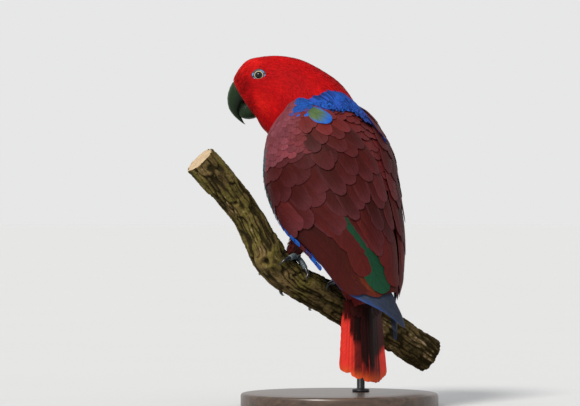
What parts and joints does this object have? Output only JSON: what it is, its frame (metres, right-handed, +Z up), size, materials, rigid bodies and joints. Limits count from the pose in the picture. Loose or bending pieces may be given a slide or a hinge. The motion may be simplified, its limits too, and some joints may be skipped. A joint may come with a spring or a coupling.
{
  "type": "eclectus parrot",
  "caption": "A life-size still model of a female eclectus parrot, looking back over its shoulder, gripping a cut length of branch on a plain round stand.",
  "frame": {"origin": "the centre of the stand base's underside, on the floor", "axes": "+Z up; the branch runs along X, from its high end at -X to its low end at +X; the bird's back faces -Y, and its head is turned towards -X"},
  "size_m": [0.2566, 0.2, 0.354],
  "materials": {
    "head_plumage": "red feathers",
    "mantle_plumage": "blue and red feathers",
    "body_plumage": "violet-blue and maroon feathers",
    "wing_plumage": "maroon feathers with a soft sheen",
    "tail_plumage": "red feathers with orange tips",
    "thigh_plumage": "dark maroon feathers",
    "bill": "black-green horn, half gloss",
    "eye": "wet, glossy",
    "eyelid": "fine bare skin",
    "foot_skin": "scaled skin, dull",
    "claw": "dark horn, half gloss",
    "bark": "rough fissured bark",
    "stand_wood": "dark stained wood, satin",
    "stand_steel": "black, satin"
  },
  "bodies": {
    "root": {"head": "head_plumage", "neck": "mantle_plumage", "torso": "body_plumage", "wing_left": "wing_plumage", "wing_right": "wing_plumage", "tail": "tail_plumage", "thigh_left": "thigh_plumage", "thigh_right": "thigh_plumage", "bill_upper": "bill", "bill_lower": "bill", "eye_left": "eye", "eye_right": "eye", "eyelid_left": "eyelid", "eyelid_right": "eyelid", "foot_left": "foot_skin", "foot_right": "foot_skin", "claw_left_inner_front": "claw", "claw_left_outer_front": "claw", "claw_left_inner_back": "claw", "claw_left_outer_back": "claw", "claw_right_inner_front": "claw", "claw_right_outer_front": "claw", "claw_right_inner_back": "claw", "claw_right_outer_back": "claw", "perch_branch": "bark", "stand_base": "stand_wood", "stand_rod": "stand_steel"}
  },
  "joints": []
}
